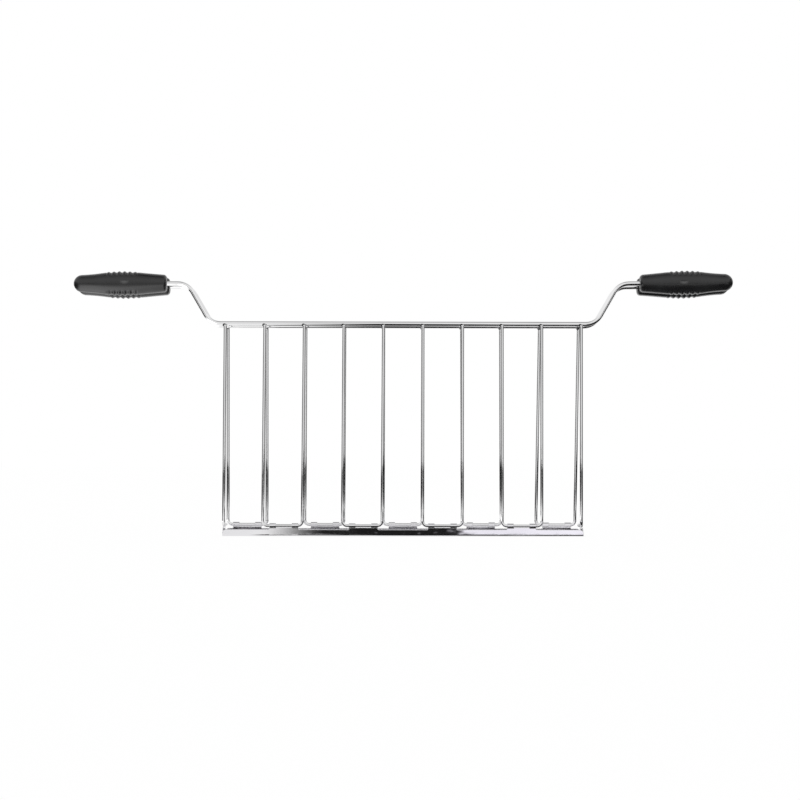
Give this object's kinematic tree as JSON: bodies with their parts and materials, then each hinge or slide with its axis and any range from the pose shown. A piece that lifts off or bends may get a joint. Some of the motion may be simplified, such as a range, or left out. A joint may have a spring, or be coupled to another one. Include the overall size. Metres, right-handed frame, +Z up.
{
  "type": "toast rack",
  "caption": "Hinged wire sandwich rack for a long-slot toaster: wire grids turn in a bent sheet tray and clamp a sandwich when the ribbed handle halves are squeezed.",
  "frame": {"origin": "middle of the tray's flat underside", "axes": "+X along the rack to the right, +Y from the front grid to the rear grid, +Z up"},
  "size_m": [0.4254, 0.033, 0.1718],
  "materials": {
    "tray_steel": "polished chromium-plated sheet steel",
    "rail_wire": "bright chromium-plated drawn wire",
    "upright_wire": "bright chromium-plated drawn wire",
    "weld_metal": "plated resistance-weld metal, slightly rough",
    "grip_plastic": "black moulded heat-resistant plastic, fine satin texture"
  },
  "bodies": {
    "tray": {"tray": "tray_steel"},
    "front_grid": {"front_rail": "rail_wire", "front_end_wire_left": "upright_wire", "front_end_wire_right": "upright_wire", "front_hoop_1": "upright_wire", "front_hoop_2": "upright_wire", "front_hoop_3": "upright_wire", "front_hoop_4": "upright_wire", "front_welds": "weld_metal", "front_left_grip": "grip_plastic", "front_right_grip": "grip_plastic"},
    "rear_grid": {"rear_rail": "rail_wire", "rear_hoop_1": "upright_wire", "rear_hoop_2": "upright_wire", "rear_hoop_3": "upright_wire", "rear_hoop_4": "upright_wire", "rear_hoop_5": "upright_wire", "rear_welds": "weld_metal", "rear_left_grip": "grip_plastic", "rear_right_grip": "grip_plastic"}
  },
  "joints": [
    {"name": "front_hinge", "type": "hinge", "parent": "tray", "child": "front_grid", "pos_m": [0, -0.0131, 0.0068], "axis": [1, 0, 0], "range_deg": [0, 90]},
    {"name": "rear_hinge", "type": "hinge", "parent": "tray", "child": "rear_grid", "pos_m": [0, 0.0131, 0.0068], "axis": [-1, 0, 0], "range_deg": [-3, 90]}
  ]
}
